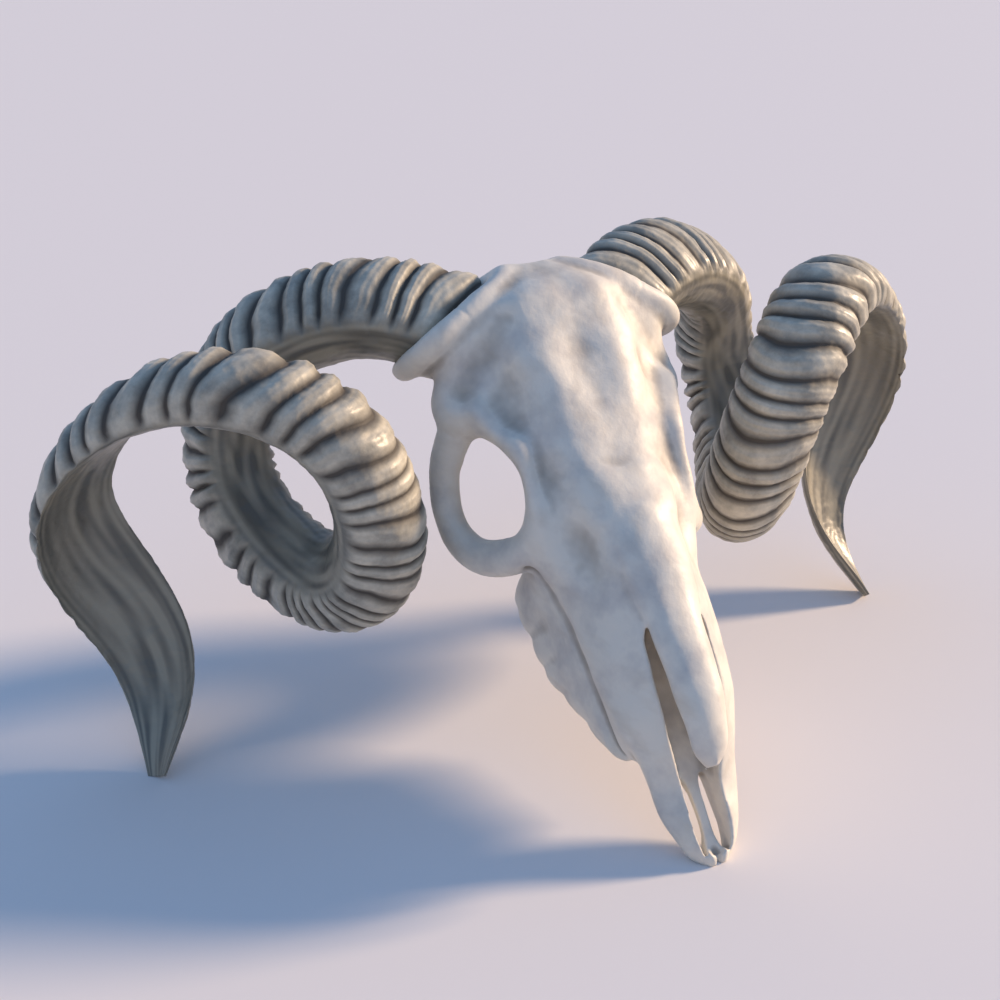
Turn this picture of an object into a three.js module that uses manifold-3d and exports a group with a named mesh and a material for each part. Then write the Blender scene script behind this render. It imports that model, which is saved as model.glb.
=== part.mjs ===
// Ram skull without its lower jaw, life size, in millimetres.
// It leans on the tips of its horns and of its muzzle, nose down.
import * as THREE from "three";
import Module from "manifold-3d";

const wasm = await Module();
wasm.setup();
const { Manifold } = wasm;

// Pose: the head is made level, then tipped about the poll, the top of the head between the horns.
const NOSE_DOWN = THREE.MathUtils.degToRad(47.9);
const POLL_HEIGHT = 229.4;
const POLL_BACK = 26.3;
const GAP = 0.3;

// Head frame: x to the animal's left, y back along the forehead line, z out of the forehead.
// A station is a distance ahead of the poll, so its y is negative.
// Each section row holds: station, height of the top, half width and height of the shoulder,
// half width and height of the widest place, half width and height of the base.
const FOREHEAD = [
  [-22, -15, 10, -17, 19, -26, 16, -40],
  [-12, -5, 17, -8, 34, -24, 30, -44],
  [5, 0, 26, -3, 52, -25, 38, -48],
  [25, 0, 31, -3, 63, -34, 42, -54],
  [44, 0, 33, -4, 66, -38, 40, -54],
  [62, 1, 33, -4, 51, -23, 30, -40],
  [85, 2, 29, -3, 41, -17, 25, -33],
  [102, 4, 27, -2, 41, -20, 26, -42],
  [118, 6, 23, 0, 43, -24, 27, -62],
];
const BRAINCASE = [
  [-31, -48, 10, -50, 20, -60, 14, -76],
  [-27, -30, 18, -34, 30, -56, 20, -80],
  [-16, -14, 22, -18, 35, -50, 23, -80],
  [0, -8, 24, -13, 36, -48, 23, -80],
  [18, -6, 24, -12, 34, -46, 22, -78],
  [38, -6, 21, -12, 28, -44, 19, -76],
  [60, -6, 16, -12, 21, -40, 15, -72],
  [85, -4, 15, -10, 19, -38, 14, -68],
  [105, -2, 18, -8, 25, -38, 18, -66],
  [118, 0, 20, -6, 32, -38, 22, -62],
];
const FACE = [
  [106, 4, 27, -2, 43, -22, 26, -66],
  [125, 8, 21, 1, 43, -25, 28, -62],
  [145, 10, 17, 4, 36.5, -25, 27, -56],
  [165, 10, 15, 5, 35.5, -23, 26, -52],
  [185, 6, 15, 2, 34, -22, 24, -47],
  [200, -1, 16.5, -2, 32.5, -22, 22, -44],
  [215, -6, 16, -6, 30, -22.5, 20, -40],
  [230, -12, 14.5, -12, 25, -23, 17, -37],
  [245, -19, 11.5, -19.5, 22.5, -28, 16, -38],
  [260, -21, 10.5, -21.5, 19.8, -30, 14.5, -38],
  [271, -23, 9, -23, 15, -30, 11, -37],
  [278, -24, 6.5, -24.5, 10.5, -30, 8, -36],
  [283, -26, 2.5, -27, 4.5, -29, 3.5, -32],
];
// Nasal bones: station, height of the ridge, half width, height of the edge.
const NASAL = [
  [118, 6.5, 7, 2],
  [132, 9, 12, 4],
  [152, 11, 15, 5],
  [175, 12, 15, 5.5],
  [195, 12.3, 12.5, 5.5],
  [210, 11.5, 11, 4.5],
  [225, 8.5, 10, 2],
  [235, 4.5, 7.5, -1],
  [241, 0.5, 3, -2.5],
];
const NASAL_THICK = 4.5;
// Nasal cavity: station, half width and height of the floor, half width at the brim.
const CAVITY = [
  [167, 4, -18, 6],
  [176, 8.5, -25, 10.5],
  [186, 12, -28, 14],
  [200, 13.5, -29, 15.5],
  [215, 13, -28.5, 15],
  [230, 11.5, -28, 13.5],
  [245, 8.8, -28, 10.3],
  [260, 8, -28.3, 9.5],
  [271, 7, -28.5, 8.3],
  [278, 3, -28.5, 4],
];
const CAVITY_BRIM = 30;
// Cheek teeth in their jaw edge: station, distance from the middle, half thickness, crown height, root height.
const TOOTH_ROW = [
  [119, 29, 4, -76, -50],
  [127, 29.5, 8.5, -86, -40],
  [150, 29, 9.5, -87, -36],
  [172, 27.5, 9, -84, -34],
  [195, 25.5, 8, -68, -32],
  [212, 24, 7, -54, -30],
  [221, 23.5, 5.5, -46, -30],
  [226, 23, 2.5, -41, -34],
];
// Rim of the eye socket as a loop: distance from the middle, station, height, half thickness.
const EYE_RIM = [
  [52, 46, -29, 9],
  [61, 55, -46, 8.5],
  [64.5, 69, -60, 8],
  [64.5, 86, -67, 8],
  [62.5, 101, -64, 8.5],
  [56, 112, -55, 9],
  [46, 117, -38, 9],
  [40, 110, -22, 6],
  [39.5, 95, -13, 5],
  [41, 78, -12, 5],
  [46, 60, -17, 6.5],
];
// Cheek arch from the eye rim back to the braincase: distance from the middle, station, height, half thickness.
const CHEEK_ARCH = [
  [62, 60, -52, 5],
  [51, 40, -58, 5],
  [46, 22, -57, 5.5],
  [33, 4, -52, 8],
];
const BRAIN = { station: 2, height: -46, halfWide: 24, halfLong: 25, halfTall: 23, hole: 9, holeHeight: -60 };
const PALATE_HOLLOW = { station: 258, height: -42.5, halfWide: 10, halfLong: 30, halfTall: 10.5 };
const SLIT = { aside: 5.5, from: 242, to: 277, halfWidth: 2.4 };
const PREMAXILLA_JOINT = 228;
const FACE_JOINT = 112;

// Middle line of the left horn from the skull to the tip: x, y, z in the head frame.
const HORN_PATH = [
  [42.3, -0.2, -34.8],
  [88.2, 23.5, -48.3],
  [132.6, 23.3, -80.3],
  [148.6, 3.3, -116.5],
  [148.8, -44.6, -128.9],
  [124.1, -95.5, -105.8],
  [108.5, -92.9, -57.5],
  [130.3, -46.4, -13.1],
  [190.3, -8.2, -44],
  [235.3, -35.2, -108.4],
  [211.4, -95.5, -146.9],
  [220, -163.5, -158.1],
];
// Horn section along its length: share of the length, half depth, half width, turn of the inner face in degrees.
const HORN_SECTION = [
  [0, 29, 19, 20],
  [0.2, 28, 19.5, 8],
  [0.4, 27, 22.5, 8],
  [0.6, 22.6, 24.6, -30],
  [0.8, 15.2, 26, -30],
  [0.9, 11.5, 23.5, -78],
  [0.96, 8, 17, -105],
  [1, 3.5, 6, -118],
];
const HORN_START = -0.06;
// The horn sits on a slanting face of its bony stub: a point of that face and its outward direction.
const STUB_FACE = { point: [51, -2, -23], out: [0.501, 0.857, 0.117] };
const STUB_FLARE = 1.16;
const HORN_LENGTHS = 6;
const HORN_RIDGES = 46;
const RIDGE_HEIGHT = 1.5;
const RIDGES_END = 0.9;
const INNER_FLAT = 0.84;
const TROUGH_DEPTH = 4.5;
const STEPS = 400;

const BONE = new THREE.MeshStandardMaterial({ color: 0xd8d0c0, roughness: 0.6, metalness: 0 });
const HORN = new THREE.MeshStandardMaterial({ color: 0x8f7d63, roughness: 0.55, metalness: 0 });

const smooth = THREE.MathUtils.smoothstep;

// Natural cubic curve through values at rising places.
function splineThrough(places, values) {
  const n = places.length;
  const bend = new Array(n).fill(0);
  const carry = new Array(n).fill(0);
  for (let i = 1; i < n - 1; i++) {
    const before = places[i] - places[i - 1];
    const after = places[i + 1] - places[i];
    const share = before / (before + after);
    const pivot = share * bend[i - 1] + 2;
    const rise = (values[i + 1] - values[i]) / after - (values[i] - values[i - 1]) / before;
    bend[i] = (share - 1) / pivot;
    carry[i] = ((6 * rise) / (before + after) - share * carry[i - 1]) / pivot;
  }
  for (let i = n - 2; i > 0; i--) {
    bend[i] = bend[i] * (i === n - 2 ? 0 : bend[i + 1]) + carry[i];
  }
  bend[0] = 0;
  bend[n - 1] = 0;
  return (place) => {
    let k = 0;
    while (k < n - 2 && place > places[k + 1]) {
      k++;
    }
    const width = places[k + 1] - places[k];
    const a = (places[k + 1] - place) / width;
    const b = 1 - a;
    const curve = ((a ** 3 - a) * bend[k] + (b ** 3 - b) * bend[k + 1]) * (width ** 2) / 6;
    return a * values[k] + b * values[k + 1] + curve;
  };
}

// Rows of numbers become one function of the first column that gives the other columns.
function table(rows) {
  const places = rows.map((row) => row[0]);
  const columns = rows[0].slice(1).map((_, i) => splineThrough(places, rows.map((row) => row[i + 1])));
  return (place) => columns.map((column) => column(place));
}

function spread(from, to, count) {
  return Array.from({ length: count + 1 }, (_, i) => from + ((to - from) * i) / count);
}

// Surface over rings of equally many points, closed at both ends, or joined end to end as a loop.
function loft(rings, loop = false) {
  const around = rings[0].length;
  const points = rings.flat();
  const faces = [];
  const last = loop ? rings.length : rings.length - 1;
  for (let i = 0; i < last; i++) {
    const near = i * around;
    const far = ((i + 1) % rings.length) * around;
    for (let j = 0; j < around; j++) {
      const next = (j + 1) % around;
      faces.push(near + j, near + next, far + next, near + j, far + next, far + j);
    }
  }
  if (!loop) {
    for (const [ring, start] of [[rings[0], 0], [rings.at(-1), points.length - around]]) {
      const middle = ring.reduce((sum, p) => sum.add(p), new THREE.Vector3()).divideScalar(around);
      const hub = points.push(middle) - 1;
      for (let j = 0; j < around; j++) {
        const pair = [start + j, start + ((j + 1) % around)];
        faces.push(hub, ...(start ? pair : pair.reverse()));
      }
    }
  }
  return new THREE.BufferGeometry().setFromPoints(points).setIndex(faces);
}

function solid(geometry) {
  const faces = new Uint32Array(geometry.index.array);
  const points = new Float32Array(geometry.attributes.position.array);
  const make = () => new Manifold(new wasm.Mesh({ numProp: 3, vertProperties: points, triVerts: faces }));
  const made = make();
  if (made.volume() > 0) {
    return made;
  }
  faces.reverse();
  return make();
}

function largest(body) {
  return body.decompose().sort((a, b) => b.volume() - a.volume())[0];
}

function geometryOf(body) {
  const mesh = body.simplify(0.1).getMesh();
  const geometry = new THREE.BufferGeometry();
  geometry.setAttribute("position", new THREE.BufferAttribute(mesh.vertProperties, 3));
  geometry.setIndex(new THREE.BufferAttribute(mesh.triVerts, 1));
  geometry.computeVertexNormals();
  return geometry;
}

// Closed ring through the key points of a section, in the plane of a station.
function ringThrough(station, keys, count) {
  const points = keys.map(([x, z]) => new THREE.Vector3(x, -station, z));
  return new THREE.CatmullRomCurve3(points, true, "centripetal").getPoints(count).slice(0, count);
}

function bodySolid(rows, count, steps) {
  const at = table(rows);
  const rings = spread(rows[0][0], rows.at(-1)[0], steps).map((station) => {
    const [top, xs, zs, xw, zw, xb, zb] = at(station);
    const keys = [[0, top], [xs, zs], [xw, zw], [xb, zb], [0, zb], [-xb, zb], [-xw, zw], [-xs, zs]];
    return ringThrough(station, keys, count);
  });
  return solid(loft(rings));
}

function nasalSolid(grow) {
  const at = table(NASAL);
  const rings = spread(NASAL[0][0], NASAL.at(-1)[0] + grow, 18).map((station) => {
    const [ridge, half, edge] = at(station);
    const top = ridge + grow;
    const x = half + grow;
    const under = edge - NASAL_THICK - grow;
    const keys = [[0, top], [0.62 * x, top - 1.6], [x, edge], [0.8 * x, under], [0, under + 2]];
    const mirrored = keys.slice(1, 4).reverse().map(([a, b]) => [-a, b]);
    return ringThrough(station, [...keys, ...mirrored], 16);
  });
  return solid(loft(rings));
}

function cavitySolid() {
  const at = table(CAVITY);
  const rings = spread(CAVITY[0][0], CAVITY.at(-1)[0], 16).map((station) => {
    const [half, floor, brim] = at(station);
    const corner = Math.min(4, half * 0.6);
    const side = [[half - corner, floor], [half, floor + corner], [brim, 0], [brim, CAVITY_BRIM]];
    const keys = [...side, ...side.map(([a, b]) => [-a, b]).reverse()];
    return keys.map(([x, z]) => new THREE.Vector3(x, -station, z));
  });
  return solid(loft(rings));
}

function toothRowSolid(side, grow) {
  const at = table(TOOTH_ROW);
  const rings = spread(TOOTH_ROW[0][0] - grow, TOOTH_ROW.at(-1)[0] + grow, 18).map((station) => {
    const [aside, half, crown, root] = at(station);
    const middle = (crown + root) / 2;
    const tall = (root - crown) / 2 + grow;
    return spread(0, 2 * Math.PI, 14).slice(0, 14).map((turn) => {
      const across = Math.sign(Math.cos(turn)) * Math.abs(Math.cos(turn)) ** 0.7;
      const x = aside + (half + grow) * across;
      return new THREE.Vector3(side * x, -station, middle + tall * Math.sin(turn));
    });
  });
  return solid(loft(rings));
}

// Round bar along rows of: distance from the middle, station, height, half thickness.
function barSolid(rows, side, grow, loop, steps, count) {
  const points = rows.map(([x, station, z]) => new THREE.Vector3(side * x, -station, z));
  const path = new THREE.CatmullRomCurve3(points, loop, "centripetal");
  const middle = new THREE.Vector3();
  points.forEach((p) => middle.addScaledVector(p, 1 / points.length));
  const places = spread(0, 1, steps).slice(0, loop ? steps : steps + 1);
  const rings = places.map((place) => {
    const centre = path.getPoint(place);
    const along = path.getTangent(place);
    const out = centre.clone().sub(middle).projectOnPlane(along).normalize();
    const across = new THREE.Vector3().crossVectors(along, out);
    const spot = place * (loop ? rows.length : rows.length - 1);
    const low = Math.floor(spot);
    const next = rows[(low + 1) % rows.length];
    const half = THREE.MathUtils.lerp(rows[low % rows.length][3], next[3], spot - low) + grow;
    return spread(0, 2 * Math.PI, count).slice(0, count).map((turn) => {
      const reach = out.clone().multiplyScalar(half * Math.cos(turn));
      return reach.addScaledVector(across, half * 1.1 * Math.sin(turn)).add(centre);
    });
  });
  return solid(loft(rings, loop));
}

function blobSolid(x, station, z, rx, ry, rz) {
  const ball = new THREE.SphereGeometry(1, 10, 7).scale(rx, ry, rz).translate(x, -station, z);
  const poles = new THREE.BufferGeometry();
  poles.setAttribute("position", ball.attributes.position);
  poles.setIndex(ball.index);
  return solid(weld(poles));
}

function weld(geometry) {
  const seen = new Map();
  const points = [];
  const place = geometry.attributes.position;
  const renamed = [];
  for (let i = 0; i < place.count; i++) {
    const p = new THREE.Vector3().fromBufferAttribute(place, i);
    const key = p.toArray().map((v) => Math.round(v * 1000)).join();
    if (!seen.has(key)) {
      seen.set(key, points.push(p) - 1);
    }
    renamed.push(seen.get(key));
  }
  const faces = [];
  for (let i = 0; i < geometry.index.count; i += 3) {
    const face = [0, 1, 2].map((k) => renamed[geometry.index.getX(i + k)]);
    if (new Set(face).size === 3) {
      faces.push(...face);
    }
  }
  return new THREE.BufferGeometry().setFromPoints(points).setIndex(faces);
}

// Horn path with a frame that does not twist about it.
const hornShares = spread(0, 1, HORN_PATH.length - 1);
const hornAxes = [0, 1, 2].map((k) => splineThrough(hornShares, HORN_PATH.map((p) => p[k])));
const hornPoint = (share) => new THREE.Vector3(...hornAxes.map((axis) => axis(share)));
const hornSection = table(HORN_SECTION);
const hornFrames = [];
const frameStart = new THREE.Vector3(0, -1, -0.6).applyAxisAngle(new THREE.Vector3(1, 0, 0), -NOSE_DOWN);
spread(0, 1, STEPS).forEach((share) => {
  const step = 0.5 / STEPS;
  const along = hornPoint(share + step).sub(hornPoint(share - step)).normalize();
  const facing = (hornFrames.at(-1)?.facing ?? frameStart).clone().projectOnPlane(along).normalize();
  hornFrames.push({ along, facing });
});

function hornRing(share, side, lift, scale, grow, count) {
  const { along, facing } = hornFrames[Math.round(THREE.MathUtils.clamp(share, 0, 1) * STEPS)];
  const centre = hornPoint(Math.max(share, 0)).addScaledVector(along, Math.min(share, 0) * 714);
  const [depth, width, turn] = hornSection(THREE.MathUtils.clamp(share, 0, 1));
  const inner = facing.clone().applyAxisAngle(along, THREE.MathUtils.degToRad(turn));
  const across = new THREE.Vector3().crossVectors(along, inner);
  const trough = TROUGH_DEPTH * smooth(share, 0.72, 0.88) * (1 - smooth(share, 0.93, 1));
  return spread(0, 2 * Math.PI, count).slice(0, count).map((angle) => {
    const c = Math.cos(angle);
    const flat = c > 0 ? INNER_FLAT * Math.sqrt(c) : c;
    const outer = smooth(-c, -0.35, 0.25);
    const deep = (depth * scale + grow) * flat;
    const reach = deep - lift * outer * Math.abs(c) - trough * Math.max(c, 0) ** 2;
    const aside = (width * scale + grow + lift * outer * 0.8) * Math.sin(angle);
    const p = centre.clone().addScaledVector(inner, reach).addScaledVector(across, aside);
    return p.setX(side * p.x);
  });
}

function hornLengthSolid(side, from, to, grow) {
  const pitch = (RIDGES_END - HORN_START) / (2 * HORN_RIDGES);
  const stops = [from];
  for (let k = 0; k <= 2 * HORN_RIDGES + 12; k++) {
    const share = HORN_START + k * pitch;
    if (share > from + 0.3 * pitch && share < to - 0.3 * pitch) {
      stops.push(share);
    }
  }
  stops.push(to);
  const rings = stops.map((share) => {
    const wave = Math.cos(((share - HORN_START) / pitch) * Math.PI);
    const fade = 1 - smooth(share, 0.78, RIDGES_END);
    return hornRing(share, side, RIDGE_HEIGHT * wave * fade, 1, grow, 16);
  });
  return solid(loft(rings));
}

// The part of a body on the horn's side of the stub's face (1), or on the skull's side (-1).
function atStubFace(body, side, which) {
  const out = new THREE.Vector3(...STUB_FACE.out).normalize();
  const level = out.dot(new THREE.Vector3(...STUB_FACE.point));
  const normal = [which * side * out.x, which * out.y, which * out.z];
  return body.trimByPlane(normal, which * level + GAP / 2);
}

function stubSolid(side) {
  const rings = spread(HORN_START, 0.1, 7).map((share) => hornRing(share, side, 0, STUB_FLARE, 0, 16));
  return atStubFace(solid(loft(rings)), side, -1);
}

// Half space ahead of a station, or on one side of the middle, by a plane cut.
const ahead = (body, station) => body.trimByPlane([0, -1, 0], station);
const behind = (body, station) => body.trimByPlane([0, 1, 0], -station);
const half = (body, side) => body.trimByPlane([side, 0, 0], GAP / 2);
const offFloor = (body) => {
  const up = [0, Math.sin(NOSE_DOWN), Math.cos(NOSE_DOWN)];
  return body.trimByPlane(up, -POLL_HEIGHT);
};

// Hollow of the braincase with its way out at the back of the head.
function brainSolid() {
  const { station, height, halfWide, halfLong, halfTall, hole } = BRAIN;
  const hollow = blobSolid(0, station, height, halfWide, halfLong, halfTall);
  const way = new THREE.CylinderGeometry(hole, hole, 60, 14).translate(0, 30 - station, BRAIN.holeHeight);
  return hollow.add(solid(weld(way)));
}

function palateHollow() {
  const { station, height, halfWide, halfLong, halfTall } = PALATE_HOLLOW;
  return blobSolid(0, station, height, halfWide, halfLong, halfTall);
}

function slitSolid(side) {
  const { aside, from, to, halfWidth } = SLIT;
  const long = (to - from) / 2;
  const slot = new THREE.CylinderGeometry(1, 1, 60, 14).rotateX(Math.PI / 2);
  slot.scale(halfWidth, long, 1).translate(side * aside, -(from + to) / 2, -30);
  return solid(weld(slot));
}

const SIDES = { left: 1, right: -1 };
const bones = {};

let skull = Manifold.union([
  bodySolid(FOREHEAD, 24, 14),
  bodySolid(BRAINCASE, 24, 14),
  ahead(bodySolid(FACE, 24, 20), 100),
  stubSolid(1),
  stubSolid(-1),
]);
for (const side of [1, -1]) {
  skull = Manifold.union([
    skull,
    blobSolid(side * 12, -32, -74, 8, 8, 11),
    blobSolid(side * 19, 6, -82, 9, 14, 10),
    blobSolid(side * 25, -20, -88, 5, 6, 17),
  ]);
}
skull = skull.subtract(cavitySolid());
skull = skull.subtract(brainSolid());
skull = skull.subtract(palateHollow());
skull = skull.subtract(nasalSolid(GAP));
for (const side of [1, -1]) {
  skull = skull.subtract(slitSolid(side));
  skull = skull.subtract(toothRowSolid(side, GAP));
  skull = skull.subtract(barSolid(EYE_RIM, side, GAP, true, 26, 8));
  skull = skull.subtract(barSolid(CHEEK_ARCH, side, GAP, false, 7, 8));
  skull = skull.subtract(atStubFace(hornLengthSolid(side, HORN_START, 0.15, GAP), side, 1));
}

bones.cranium = largest(behind(skull, FACE_JOINT));
const face = ahead(skull, FACE_JOINT + GAP);
for (const [name, side] of Object.entries(SIDES)) {
  const halfFace = half(face, side);
  bones[`maxilla_${name}`] = largest(behind(halfFace, PREMAXILLA_JOINT));
  bones[`premaxilla_${name}`] = largest(offFloor(ahead(halfFace, PREMAXILLA_JOINT + GAP)));
  bones[`nasal_${name}`] = largest(half(nasalSolid(0), side));
  bones[`tooth_row_${name}`] = toothRowSolid(side, 0);
  const rim = barSolid(EYE_RIM, side, 0, true, 26, 8);
  const arch = barSolid(CHEEK_ARCH, side, 0, false, 7, 8);
  bones[`eye_rim_${name}`] = largest(rim.add(arch).subtract(toothRowSolid(side, GAP)));
}

const horns = {};
const cuts = spread(0, 1, HORN_LENGTHS);
cuts[0] = HORN_START;
const halfGap = GAP / 2 / 714;
for (const [name, side] of Object.entries(SIDES)) {
  for (let k = 0; k < HORN_LENGTHS; k++) {
    const from = cuts[k] + (k ? halfGap : 0);
    const to = cuts[k + 1] - (k < HORN_LENGTHS - 1 ? halfGap : 0);
    const body = offFloor(hornLengthSolid(side, from, to, 0));
    horns[`horn_${name}_${k + 1}`] = k ? body : largest(atStubFace(body, side, 1));
  }
}

const head = new THREE.Group();
head.rotation.x = NOSE_DOWN;
head.position.set(0, POLL_BACK, POLL_HEIGHT);
for (const [pieces, material] of [[bones, BONE], [horns, HORN]]) {
  for (const [name, body] of Object.entries(pieces)) {
    const mesh = new THREE.Mesh(geometryOf(body), material);
    mesh.name = name;
    head.add(mesh);
  }
}

const ramSkull = new THREE.Group();
ramSkull.name = "ram_skull";
ramSkull.add(head);

export default ramSkull;
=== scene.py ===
# %% [markdown]
# # A ram skull, life size
# A ram's skull lies on a pale floor without its lower jaw.
# It leans on the tips of its two curled horns and on the tip of its muzzle.
# Bone and horn grow in different ways, so they are made in different ways here.
# The bone is one thick skin grown from rounded sections.
# Each horn is a long cone wound along a curve, with growth ridges pressed into it.

# %% Load the frame
import math
import bpy
import numpy as np
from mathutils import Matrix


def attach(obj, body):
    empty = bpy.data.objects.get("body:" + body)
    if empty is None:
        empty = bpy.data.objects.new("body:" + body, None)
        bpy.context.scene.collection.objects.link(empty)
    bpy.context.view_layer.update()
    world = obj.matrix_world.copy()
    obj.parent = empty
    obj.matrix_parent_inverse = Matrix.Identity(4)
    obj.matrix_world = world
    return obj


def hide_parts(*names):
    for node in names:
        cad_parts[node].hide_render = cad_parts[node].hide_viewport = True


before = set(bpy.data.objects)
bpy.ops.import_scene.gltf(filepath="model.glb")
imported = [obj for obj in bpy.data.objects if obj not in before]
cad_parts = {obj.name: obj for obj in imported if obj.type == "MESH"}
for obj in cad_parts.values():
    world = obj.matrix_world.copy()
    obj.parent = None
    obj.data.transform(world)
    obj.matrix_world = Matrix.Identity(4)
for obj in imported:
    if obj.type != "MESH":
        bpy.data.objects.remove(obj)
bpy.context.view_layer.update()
import openvdb
from mathutils import Matrix, Vector, noise

# %% [markdown]
# ## The eye level
# The picture is taken from the front right of the animal, looking down a little.
# A lens of about 55 mm on a 36 mm wide picture keeps the muzzle from looking swollen.
# The camera stands at the height of a visitor who bends over a low museum table.

# %% Camera
MM = 0.001
camera = bpy.data.objects.new("camera", bpy.data.cameras.new("camera"))
bpy.context.collection.objects.link(camera)
camera.data.sensor_width = 36.0
camera.data.lens = 54.86
camera.data.clip_start = 0.05
camera.data.dof.use_dof = False
camera.location = Vector((-331.92, -608.74, 459.77)) * MM
camera.rotation_euler = (math.radians(90 - 25.77), 0, math.radians(-25.21))
bpy.context.scene.camera = camera
print("The camera stands", round(camera.location.z, 2), "m above the floor")

# %% [markdown]
# ## Colours and nodes
# Colours are written as the eye sees them on a screen.
# Light is added up in linear values, so one function turns each colour into these.
# A second function adds a node, sets it and joins it to the nodes before it.

# %% Colour and node helpers
def linear(code):
    seen = np.array([int(code[i:i + 2], 16) for i in (1, 3, 5)]) / 255
    light = np.where(seen <= 0.04045, seen / 12.92, ((seen + 0.055) / 1.055) ** 2.4)
    return (*light.tolist(), 1.0)


def add(tree, kind, settings, sockets):
    made = tree.nodes.new(kind)
    for name, value in settings.items():
        setattr(made, name, value)
    for name, value in sockets.items():
        if isinstance(value, bpy.types.NodeSocket):
            tree.links.new(value, made.inputs[name])
        else:
            made.inputs[name].default_value = value
    return made


def new_material(name):
    material = bpy.data.materials.new(name)
    material.use_nodes = True
    material.node_tree.nodes.clear()
    return material, material.node_tree


print("Middle grey of a screen is", round(linear("#808080")[0], 3), "in linear light")

# %% [markdown]
# ## Floor and light
# The floor is a plain pale board, matt like painted wood, and so wide that its edge looks far away.
# A warm lamp stands low on the right of the picture, as the sun does in the late afternoon.
# A blue sky, pale where it meets the floor, fills the shadows from all sides.

# %% Floor
floor_mesh = bpy.data.meshes.new("floor")
corners = [(-40, -40, 0), (40, -40, 0), (40, 40, 0), (-40, 40, 0)]
floor_mesh.from_pydata(corners, [], [(0, 1, 2, 3)])
floor = bpy.data.objects.new("floor", floor_mesh)
bpy.context.collection.objects.link(floor)
board, tree = new_material("painted_board")
shade = add(tree, "ShaderNodeBsdfPrincipled", {}, {"Base Color": linear("#ebe5e2"), "Roughness": 0.9})
add(tree, "ShaderNodeOutputMaterial", {}, {"Surface": shade.outputs["BSDF"]})
floor_mesh.materials.append(board)
print("The floor is", floor.dimensions.x, "m wide")

# %% Light
LAMP_TURN = math.radians(-6)
LAMP_RISE = math.radians(20)
sun = bpy.data.lights.new("key", "SUN")
sun.energy = 5.0
sun.angle = math.radians(9)
sun.color = linear("#ffe0bd")[:3]
stand = bpy.data.objects.new("key", sun)
bpy.context.collection.objects.link(stand)
stand.rotation_euler = (0, math.pi / 2 - LAMP_RISE, LAMP_TURN)
sky = bpy.data.worlds.new("sky")
bpy.context.scene.world = sky
sky.use_nodes = True
sky.node_tree.nodes.clear()
towards = add(sky.node_tree, "ShaderNodeTexCoord", {}, {})
upward = add(sky.node_tree, "ShaderNodeSeparateXYZ", {}, {"Vector": towards.outputs["Generated"]})
above = add(sky.node_tree, "ShaderNodeMapRange", {}, {
    "Value": upward.outputs["Z"], "From Min": 0.08, "From Max": 0.4})
haze = add(sky.node_tree, "ShaderNodeMix", {"data_type": "RGBA"}, {
    "Factor": above.outputs["Result"], "A": linear("#e2dfe2"), "B": linear("#96bdf2")})
glow = add(sky.node_tree, "ShaderNodeBackground", {}, {"Color": haze.outputs["Result"], "Strength": 0.7})
add(sky.node_tree, "ShaderNodeOutputWorld", {}, {"Surface": glow.outputs["Background"]})
bpy.context.scene.view_settings.view_transform = "Standard"
print("One lamp and the sky light the skull")

# %% [markdown]
# ## The head's own frame
# The skull is made level, as it would lie on a workbench, and then tipped nose down.
# The middle of the head frame is the poll, the top of the head between the horns.
# A station is a distance in front of the poll, a height is a distance out of the forehead.

# %% From the head to the floor
NOSE_DOWN = math.radians(47.9)
POLL = Vector((0, 26.3, 229.4))
TIP = Matrix.Rotation(NOSE_DOWN, 3, "X")


def to_floor(points):
    turned = points @ np.array(TIP).T
    placed = turned + np.array(POLL)
    placed[:, 2] = np.maximum(placed[:, 2], 0)
    return placed * MM


print("The poll is", POLL.z, "mm above the floor")

# %% [markdown]
# ## Curves through a few measures
# A bone or a horn is described by rows of measures at some places along it.
# A smooth curve through each column gives the measures at every place between.

# %% Smooth tables
def curve_through(places, values):
    n = len(places)
    step = np.diff(places)
    slope = np.diff(values) / step
    system = np.eye(n)
    right = np.zeros(n)
    for i in range(1, n - 1):
        system[i, i - 1:i + 2] = step[i - 1], 2 * (step[i - 1] + step[i]), step[i]
        right[i] = 6 * (slope[i] - slope[i - 1])
    bend = np.linalg.solve(system, right)

    def value(place):
        k = np.clip(np.searchsorted(places, place) - 1, 0, n - 2)
        b = (place - places[k]) / step[k]
        a = 1 - b
        swell = ((a ** 3 - a) * bend[k] + (b ** 3 - b) * bend[k + 1]) * step[k] ** 2 / 6
        return a * np.take(values, k) + b * np.take(values, k + 1) + swell

    return value


def table(rows):
    rows = np.array(rows, float)
    columns = [curve_through(rows[:, 0], rows[:, i]) for i in range(1, rows.shape[1])]
    return lambda place: [column(np.clip(place, rows[0, 0], rows[-1, 0])) for column in columns]


def smooth(value, low, high):
    t = np.clip((value - low) / (high - low), 0, 1)
    return t * t * (3 - 2 * t)


hump = curve_through(np.arange(3.0), [0, 1, 0])
print("A curve through 0, 1, 0 is", round(float(hump(0.5)), 3), "half way")

# %% [markdown]
# ## Sections of the skull
# The rows below are sections across the head, in millimetres.
# Each row holds a station, the height of the top, the half width and height of the shoulder,
# those of the widest place, and those of the base.
# A sculptor would cut such sections from card and fill the space between with clay.

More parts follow.
